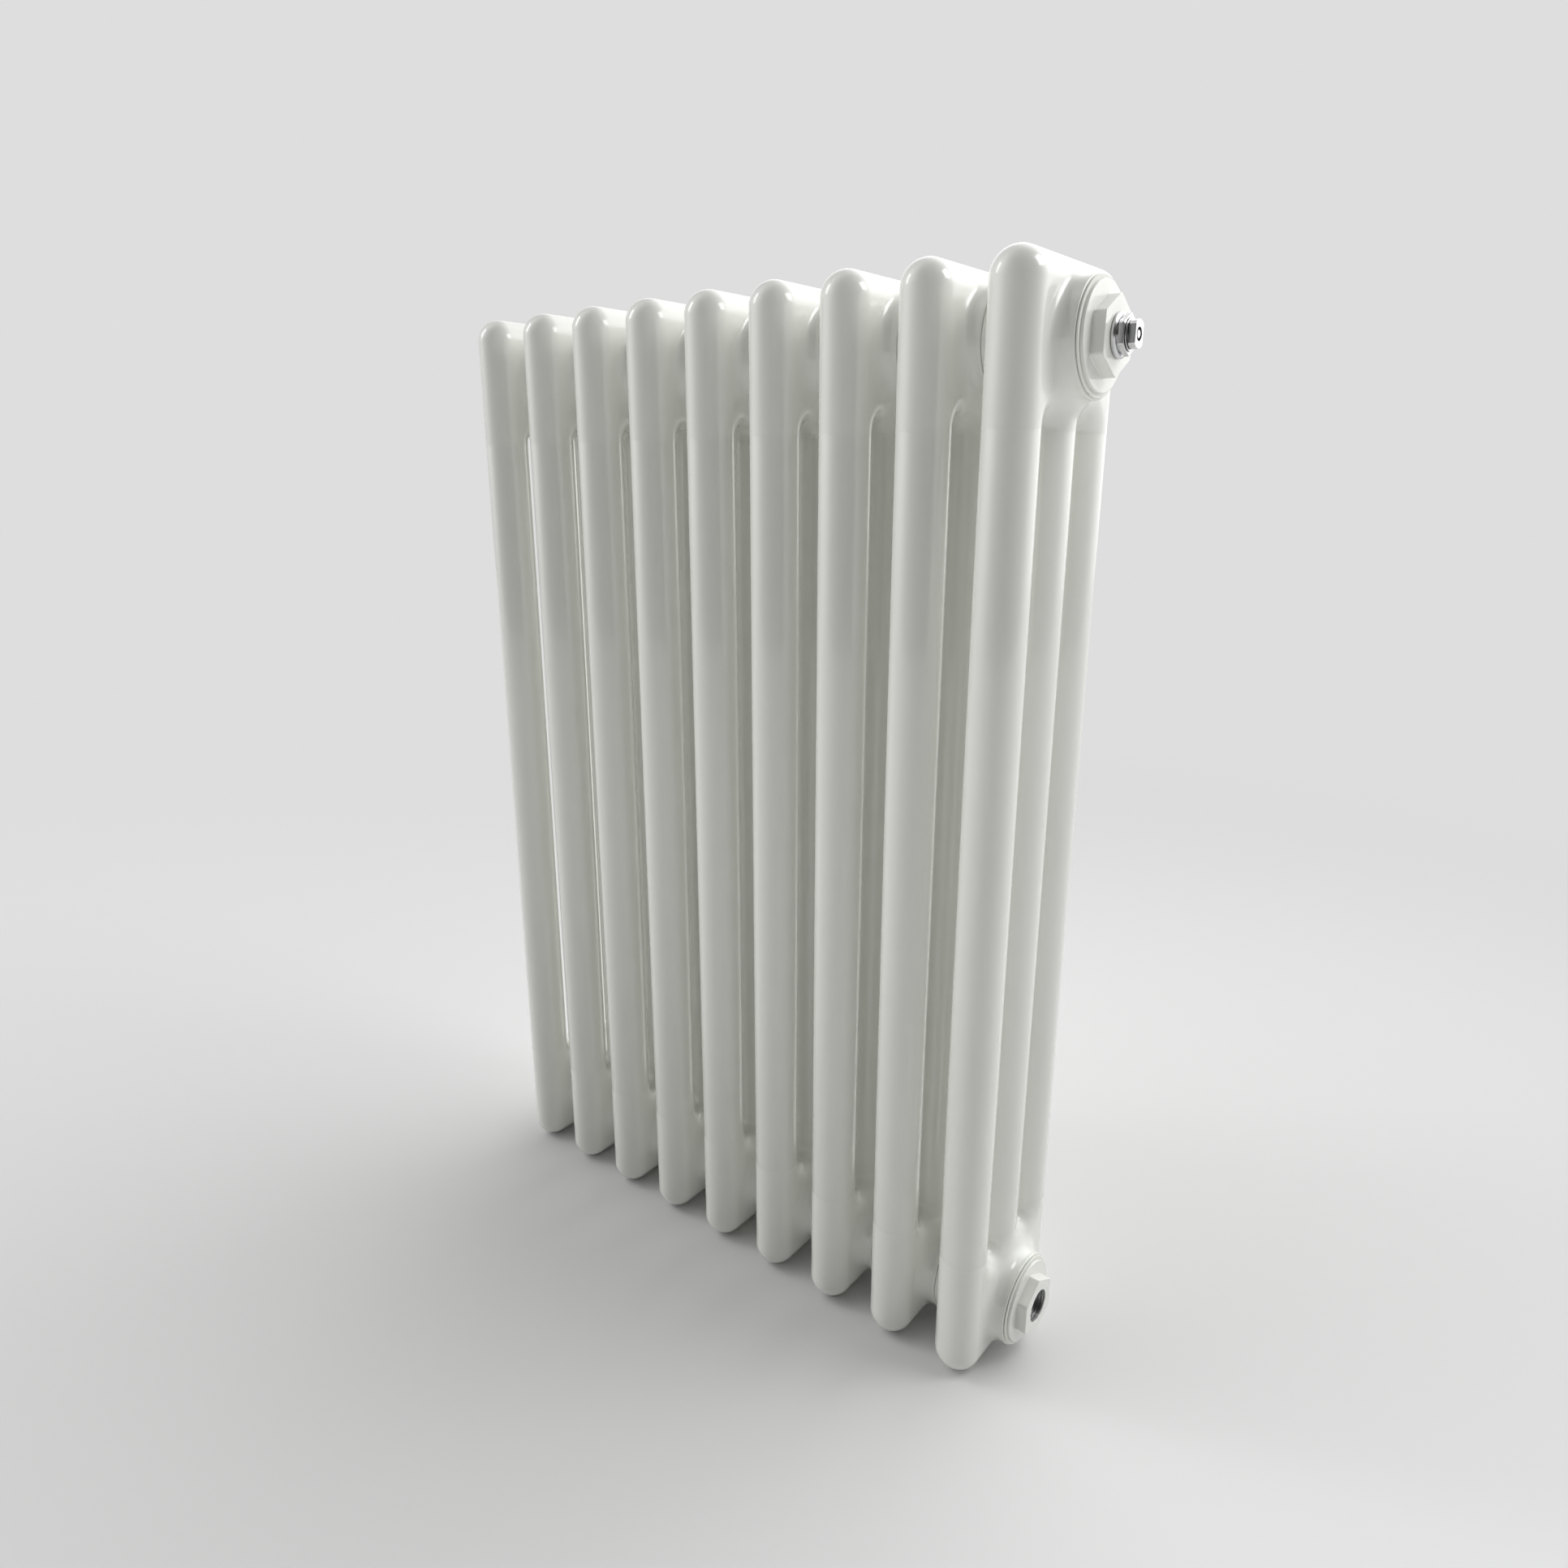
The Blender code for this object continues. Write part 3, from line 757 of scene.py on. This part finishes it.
# %% The thread tree
def thread_tree():
    """A sleeve lying along X, threaded inside."""
    tree, start, end = new_tree(
        "thread_sleeve", "GeometryNodeTree",
        [("Geometry", "Geometry", None), ("Centre", "Vector", None), ("Root Radius", "Float", 0.01),
         ("Wall", "Float", 0.0005), ("Length", "Float", 0.01), ("Pitch", "Float", 0.0018),
         ("Depth", "Float", 0.001), ("Cell", "Float", 0.00024), ("Steel", "Material", None)],
        [("Geometry", "Geometry")])
    mid = maths(tree, "MULTIPLY_ADD", start["Wall"], 0.5, start["Root Radius"])
    circle = put(tree, "GeometryNodeCurvePrimitiveCircle", {"Resolution": 72,
                                                            "Radius": mid}).outputs[0]
    outline = put(tree, "GeometryNodeCurvePrimitiveQuadrilateral",
                  {"Width": start["Wall"], "Height": start["Length"]}).outputs[0]
    fine = put(tree, "GeometryNodeResampleCurve", {"Curve": outline})
    fine.mode = "LENGTH"
    wire(tree, fine.inputs["Length"], start["Cell"])
    sleeve = put(tree, "GeometryNodeCurveToMesh", {"Curve": circle,
                                                   "Profile Curve": fine.outputs[0]}).outputs[0]
    place = put(tree, "GeometryNodeInputPosition").outputs[0]
    split = put(tree, "ShaderNodeSeparateXYZ", [place]).outputs
    radius = length(tree, split[0], split[1])
    inner = put(tree, "FunctionNodeCompare", {0: radius, 1: mid}, operation="LESS_THAN").outputs[0]
    angle = maths(tree, "DIVIDE", maths(tree, "ARCTAN2", split[1], split[0]), math.tau)
    climb = maths(tree, "ADD", maths(tree, "DIVIDE", split[2], start["Pitch"]), angle)
    wave = maths(tree, "PINGPONG", climb, 0.5)
    crest = put(tree, "ShaderNodeMapRange", {"Value": wave, "From Min": 0.08, "From Max": 0.42,
                                             "To Min": 0.0, "To Max": start["Depth"]}).outputs[0]
    share = maths(tree, "DIVIDE", maths(tree, "SUBTRACT", radius, crest), radius)
    flat = put(tree, "ShaderNodeCombineXYZ", [maths(tree, "MULTIPLY", split[0], share),
                                              maths(tree, "MULTIPLY", split[1], share),
                                              split[2]]).outputs[0]
    cut = put(tree, "GeometryNodeSetPosition", {"Geometry": sleeve, "Selection": inner,
                                                "Position": flat}).outputs[0]
    laid = put(tree, "GeometryNodeTransform", {"Geometry": cut, "Rotation": (0.0, math.pi / 2, 0.0),
                                               "Translation": start["Centre"]}).outputs[0]
    smooth = put(tree, "GeometryNodeSetShadeSmooth", {"Geometry": laid}).outputs[0]
    steel = put(tree, "GeometryNodeSetMaterial", {"Geometry": smooth, "Material": start["Steel"]})
    real = put(tree, "GeometryNodeRealizeInstances", {"Geometry": steel.outputs[0]})
    wire(tree, end["Geometry"], real.outputs[0])
    return tree


thread_sleeve = thread_tree()
print("thread tree:", len(thread_sleeve.nodes), "nodes")

# %% Two pipe threads
for side_name, side in (("right", 1), ("left", -1)):
    sleeve = grown(f"{side_name}_port_thread", thread_sleeve,
                   Centre=(side * (end_x + 22.4 * MM), 0.0, bottom_hub), Root_Radius=10.48 * MM,
                   Wall=0.3 * MM, Length=16.6 * MM, Pitch=1.814 * MM, Depth=1.1 * MM,
                   Steel=finishes["cut_steel"])
    settle(sleeve, "radiator", "bright_nickel")

# %% [markdown]
# ## The air vent
# The vent is a small plug screwed into the carrier. From the radiator outwards it has a round ring
# that presses on its rubber ring, a neck, a hexagon, a thin washer, and a nose with two flats. In
# the nose sits the vent screw, with a soft cone at its inner end. A key turns the screw, which
# lets air out. Below, a station gives its place along the axis and its radius, both in mm.

# %% Vent plug, washer and rubber ring
nickel = finishes["bright_nickel"]
vent_hexagon = hexagon(16.0, 0.9)
stations = wall(20.0, ring(7.8)) + wall(29.0, ring(7.8)) + wall(29.0, ring(6.4))
stations += wall(30.8, ring(6.4)) + wall(30.8, ring(7.8)) + wall(32.1, ring(7.8))
stations += rim(32.1, ring(9.9), 0.15, -1, to_face=False) + wall(33.2, ring(9.9))
stations += wall(33.9, ring(9.15)) + wall(34.0, ring(8.9)) + wall(34.0, ring(7.4))
stations += wall(34.6, ring(7.4)) + rim(34.6, vent_hexagon, 0.25, -1, to_face=False)
stations += rim(37.2, vent_hexagon, 0.35, 1) + wall(37.2, ring(4.6)) + wall(20.0, ring(4.6))
vent_plug = turned("vent_plug_body", stations, top_hub, 1, nickel, ring_shaped=True)
settle(flatten(vent_plug), "radiator", "bright_nickel", "vent_plug")

stations = rim(37.5, ring(7.2), 0.14, -1, to_face=False) + rim(37.8, ring(7.2), 0.14, 1)
stations += wall(37.8, ring(4.9)) + wall(37.5, ring(4.9))
washer = turned("vent_washer", stations, top_hub, 1, nickel, ring_shaped=True)
settle(flatten(washer), "radiator", "bright_nickel", "vent_insert_washer")

stations = []
for step in range(16):
    bend = math.tau * step / 16
    stations += wall(29.9 - 0.55 * math.cos(bend), ring(7.2 + 0.6 * math.sin(bend)))
rubber_ring = turned("vent_rubber_ring", stations, top_hub, 1, finishes["seal_rubber"],
                     ring_shaped=True)
settle(flatten(rubber_ring), "radiator", "seal_rubber", "vent_o_ring")

# %% Nose, screw and soft cone
nose = two_flats(6.2, 9.0)
stations = wall(23.0, ring(4.2)) + wall(38.1, ring(4.2))
stations += rim(38.1, nose, 0.12, -1, to_face=False) + rim(41.2, nose, 0.16, 1)
stations += rim(41.2, ring(2.95), 0.10, 1, outer=-1, to_face=False) + wall(25.4, ring(2.95))
stations += wall(25.4, ring(1.1)) + wall(23.0, ring(1.1))
insert = turned("vent_nose", stations, top_hub, 1, nickel, ring_shaped=True)
settle(flatten(insert), "radiator", "bright_nickel", "vent_insert")

stations = wall(28.0, ring(2.6)) + wall(35.0, ring(2.6)) + wall(35.0, ring(1.75))
stations += rim(41.0, ring(1.75), 0.15, 1)
screw = turned("vent_screw_stem", stations, top_hub, 1, finishes["plated_brass"])
settle(flatten(screw), "vent_screw", "plated_brass", "vent_spindle")

stations = wall(25.8, ring(1.3)) + wall(27.7, ring(2.2))
cone = turned("vent_soft_cone", stations, top_hub, 1, finishes["seal_rubber"])
settle(flatten(cone), "vent_seal", "seal_rubber", "vent_seal_cone")

# %% [markdown]
# ## The studio
# A pale floor runs out into a backdrop of the same tone, so no horizon shows. The light is a ring
# of soft patches round the back and the left side, in three rows, while the camera's side stays
# dim. That draws a bright edge on both sides of each tube with a grey band between. A narrow light
# at the left puts a glint on the round heads, and a small one near the vent end whitens the end
# faces.

# %% Floor
BACKDROP = 0.730
FLOOR_TONE = 0.77
PLAIN_FROM = 0.75
PLAIN_BEYOND = 1.6
HALF_FLOOR = 12.0


def floor_finish():
    """A pale floor near the object that turns into the backdrop's plain tone further out."""
    material = bpy.data.materials.new("studio_floor")
    material.use_nodes = True
    tree = material.node_tree
    tree.nodes.clear()
    place = put(tree, "ShaderNodeTexCoord").outputs["Object"]
    split = put(tree, "ShaderNodeSeparateXYZ", [place]).outputs
    radius = length(tree, split[0], split[1])
    far = put(tree, "ShaderNodeMapRange", {"Value": radius, "From Min": PLAIN_FROM,
                                           "From Max": PLAIN_BEYOND},
              interpolation_type="SMOOTHSTEP").outputs[0]
    cloth = put(tree, "ShaderNodeBsdfDiffuse", {"Color": (FLOOR_TONE, FLOOR_TONE, FLOOR_TONE, 1.0)})
    plain = put(tree, "ShaderNodeEmission", {"Color": (BACKDROP, BACKDROP, BACKDROP, 1.0)})
    both = put(tree, "ShaderNodeMixShader", {0: far, 1: cloth.outputs[0], 2: plain.outputs[0]})
    put(tree, "ShaderNodeOutputMaterial", {"Surface": both.outputs[0]})
    return material


floor_mesh = bpy.data.meshes.new("studio_floor")
corners = [(-1, -1), (1, -1), (1, 1), (-1, 1)]
corners = [(a * HALF_FLOOR, b * HALF_FLOOR, 0) for a, b in corners]
floor_mesh.from_pydata(corners, [], [(0, 1, 2, 3)])
floor_mesh.materials.append(floor_finish())
floor = bpy.data.objects.new("studio_floor", floor_mesh)
bpy.context.scene.collection.objects.link(floor)
print("floor turns plain from", PLAIN_FROM, "to", PLAIN_BEYOND, "m out")

# %% [markdown]
# ## The light
# A patch is a bright spot on the surround that fades away softly on all sides. One sum of patches
# is quicker to tune than many lamps and gives no hard shadows. Camera rays see the even backdrop
# only.

# %% Surround
LIGHT_ROWS = [
    # elevation, strength, bearings
    (8, 0.56, (40, 58, 76, 94, 112, 130, 166, 202, 220)),
    (32, 1.18, (36, 58, 80, 102, 202, 224)),
    (32, 0.45, (126, 150)),
    (60, 1.00, (90, 200)),
    (60, 0.30, (20,)),
    (32, 0.14, (-50,)),
]
PATCH_FOCUS = 16.0


def surround():
    """An even backdrop for the camera, and soft patches of light for everything else."""
    world = bpy.data.worlds.new("studio")
    bpy.context.scene.world = world
    world.use_nodes = True
    tree = world.node_tree
    tree.nodes.clear()
    direction = put(tree, "ShaderNodeTexCoord").outputs["Generated"]
    glow = 0.0
    patches = [(bearing, row[0], row[1]) for row in LIGHT_ROWS for bearing in row[2]]
    for bearing, elevation, strength in patches:
        turn, lift = math.radians(bearing), math.radians(elevation)
        toward = (math.cos(turn) * math.cos(lift), math.sin(turn) * math.cos(lift), math.sin(lift))
        facing = put(tree, "ShaderNodeVectorMath", [direction, toward], operation="DOT_PRODUCT")
        away = maths(tree, "SUBTRACT", facing.outputs["Value"], 1.0)
        patch = maths(tree, "EXPONENT", maths(tree, "MULTIPLY", away, PATCH_FOCUS))
        glow = maths(tree, "MULTIPLY_ADD", patch, strength, glow)
    lit = put(tree, "ShaderNodeBackground", {"Color": (1.0, 1.0, 1.0, 1.0), "Strength": glow})
    seen = put(tree, "ShaderNodeBackground", {"Color": (BACKDROP, BACKDROP, BACKDROP, 1.0),
                                              "Strength": 1.0})
    path = put(tree, "ShaderNodeLightPath").outputs["Is Camera Ray"]
    both = put(tree, "ShaderNodeMixShader", {0: path, 1: lit.outputs[0], 2: seen.outputs[0]})
    put(tree, "ShaderNodeOutputWorld", {"Surface": both.outputs[0]})


surround()
bpy.context.scene.view_settings.view_transform = "Standard"
print("patches of light:", sum(len(row[2]) for row in LIGHT_ROWS))

# %% Two small lights
def soft_light(name, azimuth, elevation, away, size, power):
    """A square light that looks at the radiator's middle. Its bearing is in degrees from +X."""
    data = bpy.data.lights.new(name, "AREA")
    data.shape = "RECTANGLE"
    data.size, data.size_y = size
    data.energy = power
    light = bpy.data.objects.new(name, data)
    turn, lift = math.radians(azimuth), math.radians(elevation)
    ray = Vector((math.cos(turn) * math.cos(lift), math.sin(turn) * math.cos(lift), math.sin(lift)))
    light.location = Vector((0.0, 0.0, 0.3)) + away * ray
    light.rotation_euler = ray.to_track_quat("Z", "Y").to_euler()
    bpy.context.scene.collection.objects.link(light)
    return light


soft_light("strip_at_left", -154, 34, 2.2, (0.35, 0.9), 4)
soft_light("near_the_vent_end", 22, 46, 1.15, (0.40, 0.40), 2.6)
